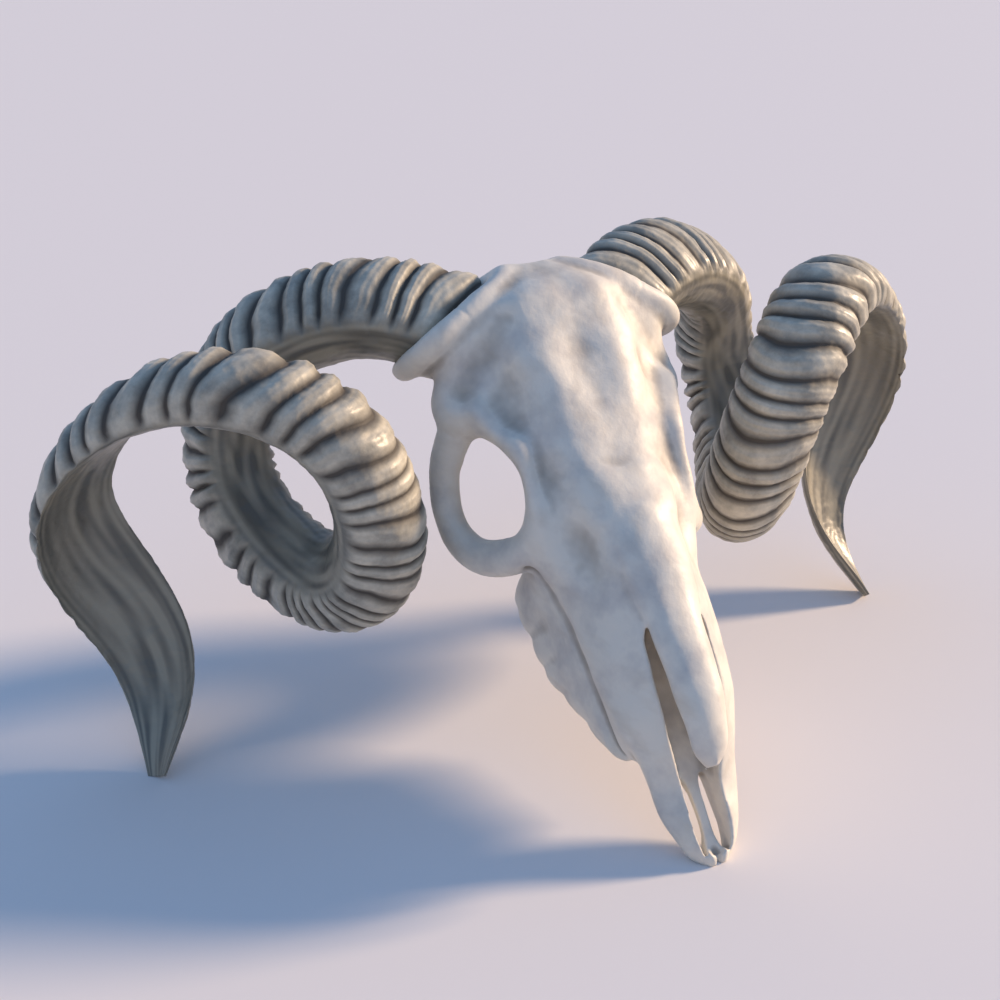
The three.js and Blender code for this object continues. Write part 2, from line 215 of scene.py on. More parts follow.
# %% Section rows
FOREHEAD = [
    [-22, -17, 10, -19, 19, -26, 16, -40],
    [-12, -8, 17, -10, 34, -24, 30, -44],
    [0, 0, 24, -1.5, 46, -24, 35, -47],
    [8, 0.5, 26, -1.5, 53, -25, 38, -48],
    [25, 0, 28, -2, 63, -34, 42, -54],
    [44, 0, 26, -2.2, 66, -38, 40, -54],
    [62, 1, 22, -2.2, 51, -23, 30, -40],
    [85, 2, 20, -1.5, 41, -17, 25, -33],
    [102, 4, 19, -0.5, 41, -20, 26, -42],
    [118, 4, 14, 0.5, 36, -24, 22, -52],
]
BRAINCASE = [
    [-31, -48, 10, -50, 20, -60, 14, -76],
    [-27, -30, 18, -34, 30, -56, 20, -80],
    [-16, -14, 22, -18, 35, -50, 23, -80],
    [0, -8, 24, -13, 36, -48, 23, -80],
    [18, -6, 24, -12, 34, -46, 22, -78],
    [38, -6, 21, -12, 28, -44, 19, -76],
    [60, -6, 16, -12, 21, -40, 15, -72],
    [85, -4, 15, -10, 19, -38, 14, -68],
    [105, -2, 18, -8, 25, -38, 18, -66],
    [118, 0, 20, -6, 32, -38, 22, -62],
]
FACE = [
    [98, 2, 16, -2.5, 36, -20, 22, -50],
    [110, 4.8, 19, 0, 42.5, -22, 26, -64],
    [125, 8, 19, 2, 43, -25, 28, -62],
    [145, 10, 17, 4, 36.5, -25, 27, -56],
    [165, 10, 15, 5, 35.5, -23, 26, -52],
    [185, 6, 15, 2, 34, -22, 24, -47],
    [200, -1, 16.5, -2, 32.5, -22, 22, -44],
    [215, -6, 16, -6, 30, -22.5, 20, -40],
    [230, -12, 14.5, -12, 25, -23, 17, -37],
    [245, -19, 11.5, -19.5, 22.5, -28, 16, -38],
    [260, -21, 10.5, -21.5, 19.8, -30, 14.5, -38],
    [271, -23, 9, -23, 15, -30, 11, -37],
    [278, -24, 6.5, -24.5, 10.5, -30, 8, -36],
    [283, -26, 2.5, -27, 4.5, -29, 3.5, -32],
]
print("The sections run from station", BRAINCASE[0][0], "to", FACE[-1][0])

# %% [markdown]
# The nasal bones are a thin roof over the nose: station, ridge height, half width, edge height.
# The nasal cavity is a trough under them: station, floor half width, floor height, brim half width.
# The cheek teeth stand in a deep edge of the jaw: station, distance from the middle,
# half thickness, height of the crowns and height of the roots.

# %% Nose and teeth
NASAL = [
    [118, 6.5, 7, 2],
    [132, 9, 12, 4],
    [152, 11, 15, 5],
    [175, 12, 14, 5.5],
    [195, 12.3, 12, 5.5],
    [210, 11.5, 11, 4.5],
    [225, 8.5, 10, 2],
    [235, 4.5, 7.5, -1],
    [241, 0.5, 3, -2.5],
]
NASAL_THICK = 4.5
CAVITY = [
    [167, 4, -14, 11],
    [176, 8.5, -24, 15.8],
    [186, 12, -28, 16.6],
    [200, 13.5, -29, 16.6],
    [215, 13, -28.5, 15],
    [230, 11.5, -28, 13.5],
    [245, 8.8, -28, 10.3],
    [260, 8, -28.3, 9.5],
    [271, 7, -28.5, 8.3],
    [278, 3, -28.5, 4],
]
TOOTH_ROW = [
    [119, 29, 4, -76, -50],
    [127, 29.5, 8.5, -86, -40],
    [150, 29, 9.5, -87, -36],
    [172, 27.5, 9, -84, -34],
    [195, 25.5, 8, -68, -32],
    [212, 24, 7, -54, -30],
    [221, 23.5, 5.5, -46, -30],
    [226, 23, 2.5, -41, -34],
]
TOOTH_PITCH = 16.5
print("The nasal bones are", NASAL[-1][0] - NASAL[0][0], "mm long")

# %% [markdown]
# The eye socket has a thick bony rim, and a cheek arch runs back from it to the braincase.
# Both are bars that follow a line: distance from the middle, station, height, half thickness.

# %% Eye rim and cheek arch
EYE_RIM = [
    [52, 46, -29, 9],
    [61, 55, -46, 8.5],
    [64.5, 69, -60, 8],
    [64.5, 86, -67, 8],
    [62.5, 101, -64, 8.5],
    [56, 112, -55, 9],
    [46, 117, -38, 9],
    [40, 110, -22, 6],
    [39.5, 95, -13, 5],
    [41, 78, -12, 5],
    [46, 60, -17, 6.5],
]
CHEEK_ARCH = [
    [62, 60, -52, 5],
    [51, 40, -58, 5],
    [46, 22, -57, 5.5],
    [33, 4, -52, 8],
]


def line_through(rows, loop, per):
    rows = np.array(rows, float)
    if loop:
        rows = np.vstack([rows[-3:], rows, rows[:4]])
    places = np.arange(len(rows), dtype=float)
    at = [curve_through(places, rows[:, i]) for i in range(rows.shape[1])]
    first, last = (3, len(rows) - 4) if loop else (0, len(rows) - 1)
    spots = np.linspace(first, last, per * (last - first) + 1)
    return np.stack([column(spots) for column in at], 1)


rim_line = line_through(EYE_RIM, True, 7)
arch_line = line_through(CHEEK_ARCH, False, 10)
print("The eye rim follows", len(rim_line), "spots")

# %% [markdown]
# ## Horn line
# A ram's horn winds outwards, down, forwards and out again.
# Its line is a curve through a few points: aside, back, out of the forehead.
# The section of the horn changes along it: share of the length, half depth, half width,
# and the turn of its flat inner face in degrees.

# %% Horn line and sections
HORN_PATH = np.array([
    [42.3, -0.2, -34.8],
    [88.2, 23.5, -48.3],
    [132.6, 23.3, -80.3],
    [148.6, 3.3, -116.5],
    [148.8, -44.6, -128.9],
    [124.1, -95.5, -105.8],
    [108.5, -92.9, -57.5],
    [130.3, -46.4, -13.1],
    [190.3, -8.2, -44],
    [235.3, -35.2, -108.4],
    [211.4, -95.5, -146.9],
    [220, -163.5, -158.1],
])
HORN_SECTION = [
    [0, 29, 19, 20],
    [0.2, 28, 19.5, 8],
    [0.4, 27, 22.5, 8],
    [0.6, 22.6, 24.6, -30],
    [0.8, 15.2, 26, -30],
    [0.9, 11.5, 23.5, -78],
    [0.96, 8, 17, -105],
    [1, 3.5, 6, -118],
]
HORN_LENGTH = 714
INNER_FLAT = 0.84
TROUGH_DEPTH = 7
STEPS = 900
horn_shares = np.linspace(0, 1, len(HORN_PATH))
horn_axes = [curve_through(horn_shares, HORN_PATH[:, i]) for i in range(3)]
horn_section = table(HORN_SECTION)


def horn_point(share):
    return np.stack([axis(share) for axis in horn_axes], -1)


print("The horn is", HORN_LENGTH, "mm long along its curve")

# %% [markdown]
# A frame rides along the line without twisting about it.
# It is found step by step: the facing of the last step, laid flat on the next step's plane.

# %% Horn frames
fine = np.linspace(0, 1, STEPS + 1)
centres = horn_point(fine)
along = np.gradient(centres, axis=0)
along /= np.linalg.norm(along, axis=1)[:, None]
facing = np.empty_like(along)
last = np.array(Matrix.Rotation(-NOSE_DOWN, 3, "X") @ Vector((0, -1, -0.6)))
for i, way in enumerate(along):
    last = last - way * (last @ way)
    last = last / np.linalg.norm(last)
    facing[i] = last


def horn_frame(share):
    i = np.clip(np.rint(share * STEPS), 0, STEPS).astype(int)
    depth, width, turn = horn_section(np.clip(share, 0, 1))
    a = np.radians(turn)[..., None]
    inner = facing[i] * np.cos(a) + np.cross(along[i], facing[i]) * np.sin(a)
    across = np.cross(along[i], inner)
    centre = horn_point(np.maximum(share, 0))
    centre = centre + along[i] * np.minimum(share, 0)[..., None] * HORN_LENGTH
    return centre, inner, across, depth, width


print("The frame is carried over", STEPS, "steps")

# %% [markdown]
# ## Solid as a field
# A field says how far a point is from the surface: below zero inside, above zero outside.
# Two fields can be melted together over a few millimetres, as bone does where parts fuse.
# A hollow is melted out in the same way, which leaves a rounded brim.

# %% Melting fields together
def melt(a, b, width):
    near = np.maximum(width - np.abs(a - b), 0) / width
    return np.minimum(a, b) - near * near * width / 4


def carve(a, hole, width):
    return -melt(-a, hole, width)


print("Two faces 0 mm apart melt to", float(melt(np.array(0.0), np.array(0.0), 4.0)), "mm at width 4")

# %% [markdown]
# A section is a closed curve, and its distance from its own middle in each direction is kept.
# A point of the same slice is then compared with that distance.

# %% Field of a section
TURNS = np.linspace(-math.pi, math.pi, 361)


def closed_curve(keys, per=16):
    keys = np.array(keys, float)
    before, start, end, after = (np.roll(keys, k, 0) for k in (1, 0, -1, -2))
    legs = (start - before, end - start, after - end)
    d0, d1, d2 = (np.sqrt(np.linalg.norm(leg, axis=1))[:, None] for leg in legs)
    leave = ((start - before) / d0 - (end - before) / (d0 + d1) + (end - start) / d1) * d1
    reach = ((end - start) / d1 - (after - start) / (d1 + d2) + (after - end) / d2) * d1
    t = np.linspace(0, 1, per, endpoint=False)[:, None, None]
    points = (start + leave * t + (-3 * start + 3 * end - 2 * leave - reach) * t ** 2
              + (2 * start - 2 * end + leave + reach) * t ** 3)
    return points.transpose(1, 0, 2).reshape(-1, 2)


def polar(points, middle):
    from_middle = points - middle
    turn = np.arctan2(from_middle[:, 1], from_middle[:, 0])
    order = np.argsort(turn)
    reach = np.hypot(*from_middle.T)[order]
    radius = np.interp(TURNS, turn[order], reach, period=2 * math.pi)
    lean = np.gradient(radius, TURNS) / radius
    return radius, 1 / np.sqrt(1 + lean ** 2)


def section_field(x, z, keys, middle):
    radius, upright = polar(closed_curve(keys), np.array(middle))
    turn = np.arctan2(z - middle[1], x - middle[0])
    away = np.hypot(x - middle[0], z - middle[1])
    return (away - np.interp(turn, TURNS, radius)) * np.interp(turn, TURNS, upright)


circle = [(10 * math.cos(a), 10 * math.sin(a)) for a in np.linspace(0, 2 * math.pi, 12, endpoint=False)]
print("A point 12 mm from a 10 mm circle reads", round(float(section_field(12.0, 0.0, circle, (0, 0))), 2))

# %% [markdown]
# The bodies, bars and knobs below all answer the same question for one slice of the head.
# Outside its own stations a body answers with the distance to its end.

# %% Bodies, bars and knobs
def within(rows, station):
    return min(max(station, rows[0][0]), rows[-1][0])


def capped(field, past):
    return field if past == 0 else np.hypot(np.maximum(field, 0), past)


def body_field(rows, at, station, x, z):
    inside = within(rows, station)
    top, xs, zs, xw, zw, xb, zb = at(inside)
    keys = [[0, top], [xs, zs], [xw, zw], [xb, zb], [0, zb], [-xb, zb], [-xw, zw], [-xs, zs]]
    field = section_field(x, z, keys, (0, (top + zb) / 2))
    return capped(field, abs(station - inside))


def bar_field(line, station, x, z):
    best = np.full(x.shape, 40.0)
    for bx, bs, bz, half in line:
        if abs(bs - station) < half + 12:
            away = np.sqrt((x - bx) ** 2 + (z - bz) ** 2 + (station - bs) ** 2)
            best = np.minimum(best, away - half)
    return best


def knob_field(station, x, z, at, size):
    px, ps, pz = ((v - a) / s for v, a, s in zip((x, station, z), at, size))
    away = np.sqrt(px ** 2 + ps ** 2 + pz ** 2)
    return (away - 1) * min(size)


forehead_at = table(FOREHEAD)
braincase_at = table(BRAINCASE)
face_at = table(FACE)
nasal_at = table(NASAL)
cavity_at = table(CAVITY)
teeth_at = table(TOOTH_ROW)
print("The face is", round(2 * float(face_at(165)[3])), "mm wide in front of the eyes")

# %% [markdown]
# ## Stub and collar
# Each horn sits on a bony stub whose end face is cut on the slant.
# A rounded collar runs round that face, and the horn comes out of it.
# The stub follows the horn's own first section, a little larger.

# %% Stub and collar
STUB_POINT = np.array([51, -2, -23.0])
STUB_OUT = np.array([0.501, 0.857, 0.117])
STUB_FLARE = 1.12
COLLAR = 5.5
root_centre, root_inner, root_across, root_depth, root_width = (v[0] for v in horn_frame(np.array([0.0])))
root_along = along[0]


def horn_outline(depth, width, angle):
    c = np.cos(angle)
    flat = np.where(c > 0, INNER_FLAT * np.sqrt(np.maximum(c, 0)), c)
    return depth * flat, width * np.sin(angle)


root_turns = np.linspace(0, 2 * math.pi, 360, endpoint=False)
reach, aside = horn_outline(root_depth * STUB_FLARE, root_width * STUB_FLARE, root_turns)
stub_ring = np.stack([reach, aside], 1)
stub_radius, stub_upright = polar(stub_ring, np.zeros(2))
foot = root_centre + reach[:, None] * root_inner + aside[:, None] * root_across
slide = ((STUB_POINT - foot) @ STUB_OUT) / (root_along @ STUB_OUT)
collar_line = foot + slide[:, None] * root_along
print("The collar is", round(float(np.ptp(collar_line[:, 0]))), "mm across")


# %% Field of the stub
def stub_field(station, x, z):
    point = np.stack([x, np.full(x.shape, -station), z], -1)
    local = point - root_centre
    a, b = local @ root_inner, local @ root_across
    turn = np.arctan2(b, a)
    side = (np.hypot(a, b) - np.interp(turn, TURNS, stub_radius)) * np.interp(turn, TURNS, stub_upright)
    end = (point - STUB_POINT) @ STUB_OUT
    start = -(local @ root_along) - 26
    return carve(carve(side, -end, 3.0), -start, 3.0)


collar_half = np.full(len(collar_line), COLLAR)
collar_bar = np.column_stack([collar_line * (1, -1, 1), collar_half])
print("The collar is", 2 * COLLAR, "mm thick")

# %% [markdown]
# ## One slice of the skull
# All parts of the head meet in one function that answers for one slice.
# The parts fuse first, then the hollows are taken out, then the thin nasal roof is laid on.

# %% Nose and teeth fields
def nasal_field(station, x, z):
    inside = within(NASAL, station)
    ridge, half, edge = nasal_at(inside)
    under = edge - NASAL_THICK
    keys = [[0, ridge], [0.62 * half, ridge - 1.6], [half, edge], [0.8 * half, under], [0, under + 2]]
    keys += [[-a, b] for a, b in keys[3:0:-1]]
    field = section_field(x, z, keys, (0, (ridge + under + 2) / 2))
    return capped(field, abs(station - inside))


def cavity_field(station, x, z):
    inside = within(CAVITY, station)
    half, base, brim = cavity_at(inside)
    wall = half + (brim - half) * np.clip((z - base) / -base, 0, 1)
    field = carve(x - wall, z - base, 5.0)
    return capped(field, abs(station - inside))


def teeth_field(station, x, z):
    inside = within(TOOTH_ROW, station)
    middle, half, crown, root = teeth_at(inside)
    between = (0.5 + 0.5 * math.cos(2 * math.pi * (station - 119) / TOOTH_PITCH)) ** 2
    crown = crown + 1.5 * between
    tall = (root - crown) / 2
    px = np.abs(x - middle) / (half - 0.7 * between * smooth(-z, 45, 62))
    pz = np.abs(z - (crown + root) / 2) / tall
    away = (px ** 2.6 + pz ** 2.6) ** (1 / 2.6)
    field = (away - 1) * half
    return capped(field, abs(station - inside))


print("The tooth row is", TOOTH_ROW[-1][0] - TOOTH_ROW[0][0], "mm long")


# %% [markdown]
# Small hollows break up the smooth skin.
# A groove runs along the collar, one pit lies over the eye, one beside it,
# and a wide shallow one, where the tear gland sat, lies on the cheek.
# At the back, knobs carry the neck and the ears, and a hole leads into the hollow braincase.
# Each is a place and a size: aside, along the head, out of the forehead.

# %% Pits and grooves
BACK_KNOBS = [
    ((12, -32, -74), (8, 8, 11)),
    ((19, 6, -82), (9, 14, 10)),
    ((25, -20, -88), (5, 6, 17)),
]
BRAIN = ((0, 2, -46), (24, 25, 23))
NECK_HOLE = 9
PALATE = ((0, 258, -42.5), (10, 30, 10.5))
MUZZLE_NOTCH = ((0, 287, -26), (1.8, 7, 7))
PITS = [
    ((46, 45, -7.5), (12, 20, 9)),
    ((37, 98, -3), (9, 18, 8)),
    ((36, 131, -4.5), (13, 20, 10.5)),
]
COLLAR_GROOVE = [[36, 10, -1.5, 4], [46, 22, -7, 7], [60, 36, -19, 5.5]]
TOOTH_GROOVE = [
    [44, 126, -36, 3],
    [40, 148, -35, 4],
    [38, 170, -33, 4],
    [34.5, 195, -33, 3.5],
    [30, 214, -35, 3],
    [26, 228, -38, 2.5],
]
collar_groove = line_through(COLLAR_GROOVE, False, 12)
tooth_groove = line_through(TOOTH_GROOVE, False, 14)
print("The skin has", len(PITS), "pits on each side")


# %% Slice of the skull
def skull_slice(station, x, z):
    bone = body_field(FOREHEAD, forehead_at, station, x, z)
    bone = melt(bone, body_field(BRAINCASE, braincase_at, station, x, z), 8.0)
    bone = melt(bone, body_field(FACE, face_at, station, x, z), 9.0)
    if station < 70:
        bone = melt(bone, stub_field(station, x, z), 9.0)
        bone = melt(bone, bar_field(collar_bar, station, x, z), 6.0)
        for at, size in BACK_KNOBS:
            bone = melt(bone, knob_field(station, x, z, at, size), 5.0)
        bone = carve(bone, knob_field(station, x, z, *BRAIN), 3.0)
        bone = carve(bone, np.maximum(np.hypot(x, z + 60) - NECK_HOLE, station - 2), 4.0)
    bone = melt(bone, bar_field(rim_line, station, x, z), 7.0)
    bone = melt(bone, bar_field(arch_line, station, x, z), 5.0)
    bone = melt(bone, teeth_field(station, x, z), 5.0)
    if station > 150:
        bone = carve(bone, cavity_field(station, x, z), 2.5)
        bone = carve(bone, knob_field(station, x, z, *PALATE), 3.0)
        slit = np.hypot((x - 6) / 3, (station - 259.5) / 18.5)
        bone = carve(bone, (slit - 1) * 3, 1.5)
        bone = carve(bone, knob_field(station, x, z, *MUZZLE_NOTCH), 3.0)
    if station > 100:
        bone = melt(bone, nasal_field(station, x, z), 6.0 - 4.8 * float(smooth(station, 145, 176)))
    for at, size in PITS:
        if abs(station - at[1]) < 2.2 * size[1]:
            bone = carve(bone, knob_field(station, x, z, at, size), 7.0)
    if station < 60:
        bone = carve(bone, bar_field(collar_groove, station, x, z), 9.0)
    if 110 < station < 230:
        bone = carve(bone, bar_field(tooth_groove, station, x, z), 3.0)
    long = smooth(station, 8, 35) * (1 - smooth(station, 90, 125))
    return bone + long * (1.3 * np.exp(-(x / 9) ** 2) - 0.6 * np.exp(-((x - 19) / 7) ** 2))


# %% [markdown]
# ## The skin of the skull
# The slices are stacked as a scanner stacks them, for one side of the head.
# The stack is mirrored, and a skin is laid where the field is zero.

# %% Stack the slices
PITCH = 0.9
xs = np.arange(0, 96, PITCH)
stations = np.arange(-52, 290, PITCH)
heights = np.arange(-113, 20, PITCH)
x_grid, z_grid = np.meshgrid(xs, heights, indexing="ij")
stack = np.stack([skull_slice(s, x_grid, z_grid) for s in stations], 1)
whole = np.concatenate([stack[:0:-1], stack]) / PITCH
print("The stack holds", whole.size // 1000, "thousand values")

# %% Lay the skin
band = 3.0
grid = openvdb.FloatGrid(band)
grid.copyFromArray(np.clip(whole, -band, band).astype(np.float32))
spots, quads = grid.convertToQuads(0.0)
origin = np.array([-xs[-1], stations[0], heights[0]])
skin = spots * PITCH + origin
skin[:, 1] *= -1
print("The skin has", len(quads), "faces")

# %% [markdown]
# Bone is never quite even: one side differs from the other by a millimetre or so.
# A slow wave moves the skin a little, and a fine one gives the grain of old bone.

# %% Uneven skin
def neighbours(faces):
    pairs = np.concatenate([faces[:, [i, (i + 1) % 4]] for i in range(4)])
    return np.concatenate([pairs, pairs[:, ::-1]])


def averaged(values, pairs, count):
    weight = np.bincount(pairs[:, 0], minlength=count)
    sums = [np.bincount(pairs[:, 0], values[pairs[:, 1], k], count) for k in range(values.shape[1])]
    return np.stack(sums, 1) / weight[:, None]


def normals_of(points, faces):
    a, b, c, d = (points[faces[:, i]] for i in range(4))
    flat = np.cross(c - a, d - b)
    total = np.zeros_like(points)
    for i in range(4):
        for k in range(3):
            total[:, k] += np.bincount(faces[:, i], flat[:, k], len(points))
    return total / np.linalg.norm(total, axis=1)[:, None]


def volume(points, faces):
    a, b, c, d = (points[faces[:, i]] for i in range(4))
    return float(np.einsum("ij,ij", a, np.cross(b, c) + np.cross(c, d))) / 6


def waves(points, size):
    return np.array([noise.noise(p) for p in (points / size).tolist()])


faces = quads.astype(int)
if volume(skin, faces) < 0:
    faces = faces[:, ::-1]
outward = normals_of(skin, faces)
lift = 1.4 * waves(skin, 45) + 0.75 * waves(skin + 300, 16) + 0.1 * waves(skin - 200, 4)
skin = skin + outward * lift[:, None]
print("The skin moves by up to", round(float(np.abs(lift).max()), 1), "mm")

# %% [markdown]
# Dust and damp stay in the hollows, and hands and brushes keep the edges bright; the hollows are also
# darkened as painted shade.
# How hollow the skin is at a spot is the way from it to the average of the skin around it.

# %% Hollows of the skin
def hollows(points, faces, rounds):
    pairs = neighbours(faces)
    calm = points
    for _ in range(rounds):
        calm = averaged(calm, pairs, len(points))
    return np.einsum("ij,ij->i", calm - points, normals_of(points, faces))


near = hollows(skin, faces, 12)
wide = hollows(skin, faces, 60)
# Painted shadow: the crown behind the crest is marked darker, as if it lay in shadow.
crown = smooth(skin[:, 1], 2, 12) * smooth(skin[:, 2], -30, -12)
# Dust and painted shade: the hollows and the crown get the darker bone colour.
dust_and_shade_amount = np.clip(0.5 + near / 1.4 + wide / 3.5 + 0.16 * crown, 0, 1)
print("Hollow spots:", int((dust_and_shade_amount > 0.75).sum()), "of", len(dust_and_shade_amount))

# %% Mesh of the skull
def make_piece(name, points, faces, material, marks):
    mesh = bpy.data.meshes.new(name)
    mesh.from_pydata(to_floor(points), [], faces)
    mesh.update()
    mesh.shade_smooth()
    for mark, values in marks.items():
        mesh.attributes.new(mark, "FLOAT", "POINT").data.foreach_set("value", values.astype(np.float32))
    piece = bpy.data.objects.new(name, mesh)
    bpy.context.collection.objects.link(piece)
    mesh.materials.append(material)
    return piece


bone, tree = new_material("bone")
skull = make_piece("skull", skin, faces, bone, {"dust_and_painted_shade": dust_and_shade_amount})
print("The bone takes up", round(volume(skin, faces) / 1000), "cubic centimetres")

# %% [markdown]
# ## Bone
# Dry bone is ivory, matt to silky, and greyer where dust has settled; the same darker colour paints shade
# into the hollows and a shadow onto the crown behind the crest.
# Its refractive index is about 1.55.
# It was cleaned and bleached by the weather, so blotches and long streaks have stayed in it.
# The real grain is finer than a millimetre and is drawn coarser here, so that it shows.

# %% Bone material
BLOTCH, STREAK_WIDE, STREAK_LONG, GRAIN = 29.4, 11.11, 62.5, 1.667
place = add(tree, "ShaderNodeTexCoord", {}, {})
dust_and_painted_shade = add(tree, "ShaderNodeAttribute", {"attribute_name": "dust_and_painted_shade"}, {})
patch = add(tree, "ShaderNodeTexNoise", {}, {
    "Vector": place.outputs["Object"], "Scale": 1 / (BLOTCH * MM), "Detail": 4, "Roughness": 0.6})
streak_place = add(tree, "ShaderNodeMapping", {}, {
    "Vector": place.outputs["Object"], "Rotation": (NOSE_DOWN, 0, 0),
    "Scale": [1 / (size * MM) for size in (STREAK_WIDE, STREAK_LONG, STREAK_WIDE)]})
streak = add(tree, "ShaderNodeTexNoise", {}, {
    "Vector": streak_place.outputs["Vector"], "Scale": 1, "Detail": 3})
# The hollows get a darker colour as dust and as painted shade, and the crown gets it as painted shadow.
dust_and_shade_fac = add(tree, "ShaderNodeMapRange", {}, {
    "Value": dust_and_painted_shade.outputs["Fac"], "From Min": 0.52, "From Max": 1.0, "To Max": 0.75})
grey = add(tree, "ShaderNodeMapRange", {}, {
    "Value": patch.outputs["Fac"], "From Min": 0.47, "From Max": 0.72, "To Max": 0.75})
warm = add(tree, "ShaderNodeMapRange", {}, {
    "Value": streak.outputs["Fac"], "From Min": 0.5, "From Max": 0.75, "To Max": 0.5})
ivory = add(tree, "ShaderNodeMix", {"data_type": "RGBA"}, {
    "Factor": warm.outputs["Result"], "A": linear("#dfd9cc"), "B": linear("#c4b9a8")})
mottled = add(tree, "ShaderNodeMix", {"data_type": "RGBA"}, {
    "Factor": grey.outputs["Result"], "A": ivory.outputs["Result"], "B": linear("#b3afac")})
soiled_and_shaded = add(tree, "ShaderNodeMix", {"data_type": "RGBA"}, {
    "Factor": dust_and_shade_fac.outputs["Result"], "A": mottled.outputs["Result"], "B": linear("#857c70")})
grain = add(tree, "ShaderNodeTexNoise", {}, {
    "Vector": place.outputs["Object"], "Scale": 1 / (GRAIN * MM), "Detail": 3})
relief = add(tree, "ShaderNodeBump", {}, {
    "Height": grain.outputs["Fac"], "Strength": 0.2, "Distance": 0.5 * MM})
silk = add(tree, "ShaderNodeMapRange", {}, {
    "Value": patch.outputs["Fac"], "From Min": 0.3, "From Max": 0.7, "To Min": 0.42, "To Max": 0.62})
shade = add(tree, "ShaderNodeBsdfPrincipled", {}, {
    "Base Color": soiled_and_shaded.outputs["Result"], "Roughness": silk.outputs["Result"], "IOR": 1.55,
    "Normal": relief.outputs["Normal"]})
add(tree, "ShaderNodeOutputMaterial", {}, {"Surface": shade.outputs["BSDF"]})
print("Bone is painted in", len(tree.nodes), "nodes")

# %% [markdown]
# ## Horns
# Horn grows from the skull in yearly and monthly steps, and each step leaves a ridge.
# The ridges run across the outer side and fade on the smooth inner face and towards the tip.

# %% Horn mesh
AROUND = 160
shares = np.linspace(-0.02, 1, 1300)
turns = np.linspace(0, 2 * math.pi, AROUND, endpoint=False)
centre, inner, across, depth, width = horn_frame(shares)
c = np.cos(turns)[None, :]
s = np.sin(turns)[None, :]
bare = smooth(shares, 0.62, 0.8)[:, None]
outer = smooth(-c, -0.8 + 0.44 * bare, -0.15 + 0.3 * bare) * (1 - bare * smooth(s, 0.1, 0.8))
tight = smooth(shares, 0.36, 0.46) * (1 - smooth(shares, 0.58, 0.68))
pace = 52 + 26 * tight + 13 * smooth(shares, 0.6, 0.72)
count = np.concatenate([[0], np.cumsum((pace[1:] + pace[:-1]) / 2 * np.diff(shares))])
count = count + 0.22 * np.sin(count * 1.7) + 0.16 * np.sin(count * 0.61 + 2)
keel = np.sqrt((turns - math.pi) ** 2 + 0.12)
phase = count[:, None] - 0.4 * keel[None, :] + 0.1 * np.sin(2 * turns + 1)[None, :]
print("Each horn has about", int(count[-1]), "ridges")

# %% [markdown]
# A ridge has a broad round back and a narrow groove behind it.
# No two ridges are alike, so height and pace wander along the horn.

# %% Ridges
crest = (0.5 - 0.5 * np.cos(2 * math.pi * phase)) ** 0.5
strength = 3.5 - 1.7 * tight
fade = 1 - smooth(shares, 0.8, 0.93)
wander = 1 + 0.22 * np.sin(2.1 * count) + 0.16 * np.sin(0.77 * count + 1)
rise = (strength * fade * wander)[:, None] * outer
lines = 0.16 * np.sin(2 * math.pi * 4 * phase) * outer * fade[:, None]
height = rise * (crest - 0.72) + lines
reach, aside = horn_outline(depth[:, None], width[:, None], turns[None, :])
hollowed = (smooth(shares, 0.68, 0.86) * (1 - 0.6 * smooth(shares, 0.94, 1)))[:, None]
reach = np.where(c > 0, reach * (1 - hollowed), reach) - (TROUGH_DEPTH * hollowed) * np.maximum(c, 0) ** 1.5
reach = reach + height * np.sign(c) * np.abs(c) ** 1.2
aside = aside + 0.9 * height * s
rings = centre[:, None] + reach[..., None] * inner[:, None] + aside[..., None] * across[:, None]
# The groove mask also darkens the grooves in the horn colour, as dirt and as painted shade.
groove = (1 - crest) * outer * fade[:, None]
round_the_horn = np.stack(np.broadcast_arrays(5 * c, 5 * s, 20 * shares[:, None]), -1).reshape(-1, 3)
streak = 0.5 + 0.5 * waves(round_the_horn, 1.0)
print("Each horn has", rings.shape[0], "rings")

# %% Horn pieces
def ring_faces(count, around):
    i, j = np.meshgrid(np.arange(count - 1), np.arange(around), indexing="ij")
    near, next_one = i * around + j, i * around + (j + 1) % around
    return np.stack([near, next_one, next_one + around, near + around], -1).reshape(-1, 4)


horn, tree = new_material("horn")
horns = {}
inside = np.repeat(1 - smooth(shares, 0.95, 1)[:, None], AROUND, 1)
for name, side in (("left", 1), ("right", -1)):
    points = rings.reshape(-1, 3) * (side, 1, 1)
    faces = ring_faces(*rings.shape[:2])
    faces = faces if side * volume(rings.reshape(-1, 3), faces) > 0 else faces[:, ::-1]
    ends = [list(range(AROUND)), list(range(len(points) - AROUND, len(points)))]
    rough = 0.5 * waves(points, 9) + 0.25 * waves(points + 100, 3.5)
    points = points + normals_of(points, faces) * (rough * inside.ravel())[:, None]
    marks = {"groove": groove.ravel(), "inside": np.broadcast_to(1 - outer, groove.shape).ravel(),
             "streak": streak}
    horns[name] = make_piece(f"horn_{name}", points, faces.tolist() + ends, horn, marks)
print("Two horns are wound")
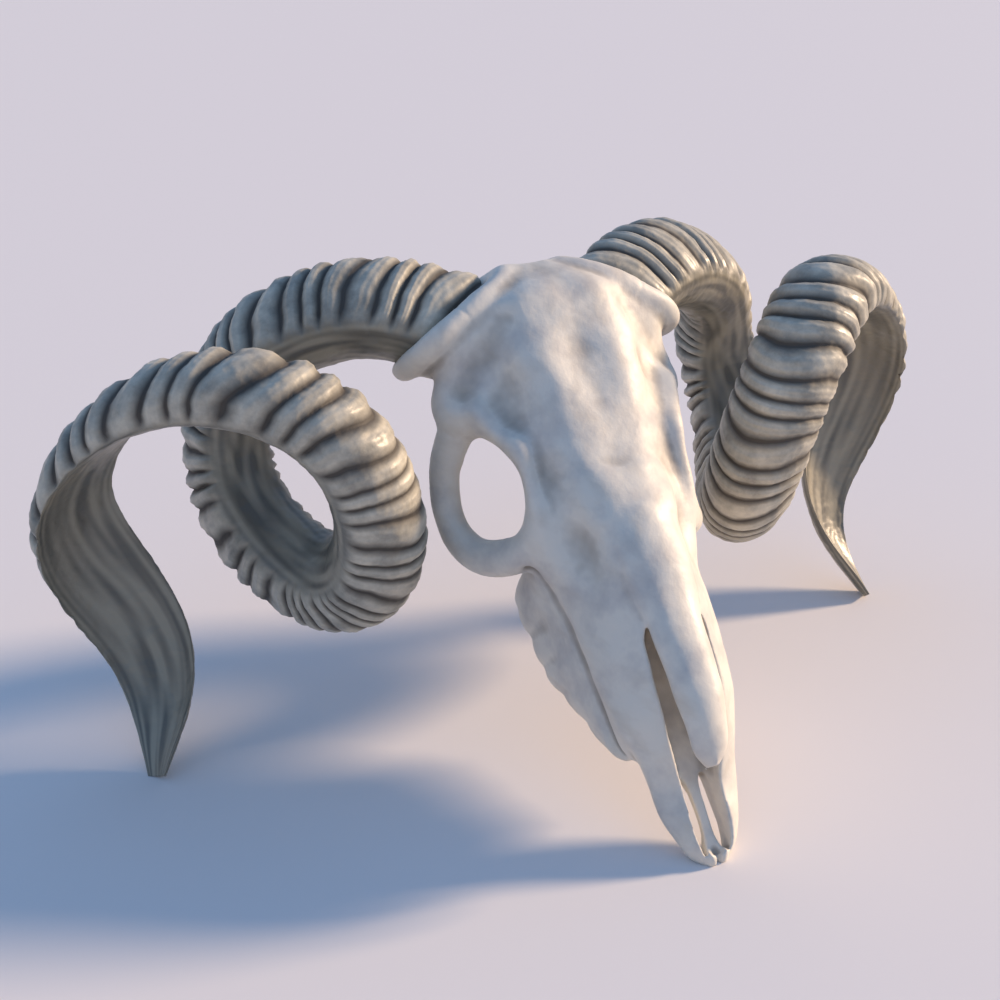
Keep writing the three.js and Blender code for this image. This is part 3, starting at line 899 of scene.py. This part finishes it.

# %% [markdown]
# ## Horn
# Horn is keratin, the stuff of nails, beige where it is worn and dark in the grooves, where dirt sits and
# shade is painted.
# Its refractive index is about 1.54, and worn ridges shine a little.
# It grows in fibres too fine to see, which are drawn some 2 mm wide here, so that they show.

# %% Horn material
CLOUD, FIBRE = 18.18, 2.381
place = add(tree, "ShaderNodeTexCoord", {}, {})
ditch = add(tree, "ShaderNodeAttribute", {"attribute_name": "groove"}, {})
hidden = add(tree, "ShaderNodeAttribute", {"attribute_name": "inside"}, {})
patch = add(tree, "ShaderNodeTexNoise", {}, {
    "Vector": place.outputs["Object"], "Scale": 1 / (CLOUD * MM), "Detail": 5, "Roughness": 0.65})
fibre = add(tree, "ShaderNodeTexNoise", {}, {
    "Vector": place.outputs["Object"], "Scale": 1 / (FIBRE * MM), "Detail": 3})
blend = add(tree, "ShaderNodeMapRange", {}, {
    "Value": patch.outputs["Fac"], "From Min": 0.3, "From Max": 0.7})
# Dirt and painted shade: the grooves get a dark colour.
dirt_and_shade_fac = add(tree, "ShaderNodeMapRange", {}, {
    "Value": ditch.outputs["Fac"], "From Min": 0.15, "From Max": 0.85})
keratin = add(tree, "ShaderNodeMix", {"data_type": "RGBA"}, {
    "Factor": blend.outputs["Result"], "A": linear("#8b877b"), "B": linear("#d2cab6")})
grown = add(tree, "ShaderNodeAttribute", {"attribute_name": "streak"}, {})
strand = add(tree, "ShaderNodeMapRange", {}, {
    "Value": grown.outputs["Fac"], "From Min": 0.3, "From Max": 0.7})
lining = add(tree, "ShaderNodeMix", {"data_type": "RGBA"}, {
    "Factor": strand.outputs["Result"], "A": linear("#67645a"), "B": linear("#9d9684")})
lined = add(tree, "ShaderNodeMix", {"data_type": "RGBA"}, {
    "Factor": hidden.outputs["Fac"], "A": keratin.outputs["Result"], "B": lining.outputs["Result"]})
soiled_and_shaded = add(tree, "ShaderNodeMix", {"data_type": "RGBA"}, {
    "Factor": dirt_and_shade_fac.outputs["Result"], "A": lined.outputs["Result"], "B": linear("#48423a")})
relief = add(tree, "ShaderNodeBump", {}, {
    "Height": fibre.outputs["Fac"], "Strength": 0.25, "Distance": 0.6 * MM})
shine = add(tree, "ShaderNodeMapRange", {}, {
    "Value": ditch.outputs["Fac"], "From Min": 0.0, "From Max": 0.6, "To Min": 0.38, "To Max": 0.7})
shade = add(tree, "ShaderNodeBsdfPrincipled", {}, {
    "Base Color": soiled_and_shaded.outputs["Result"], "Roughness": shine.outputs["Result"], "IOR": 1.54,
    "Normal": relief.outputs["Normal"]})
add(tree, "ShaderNodeOutputMaterial", {}, {"Surface": shade.outputs["BSDF"]})
print("Horn is painted in", len(tree.nodes), "nodes")

# %% [markdown]
# ## Hand over
# Every piece rides on the one body of the still model and stands for its nodes of the frame.

# %% Hand over the pieces
bones = [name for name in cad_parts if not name.startswith("horn_")]
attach(skull, "root")
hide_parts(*bones)
for name, piece in horns.items():
    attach(piece, "root")
    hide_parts(*[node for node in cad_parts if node.startswith(f"horn_{name}_")])
print("The skull and its horns are handed over")
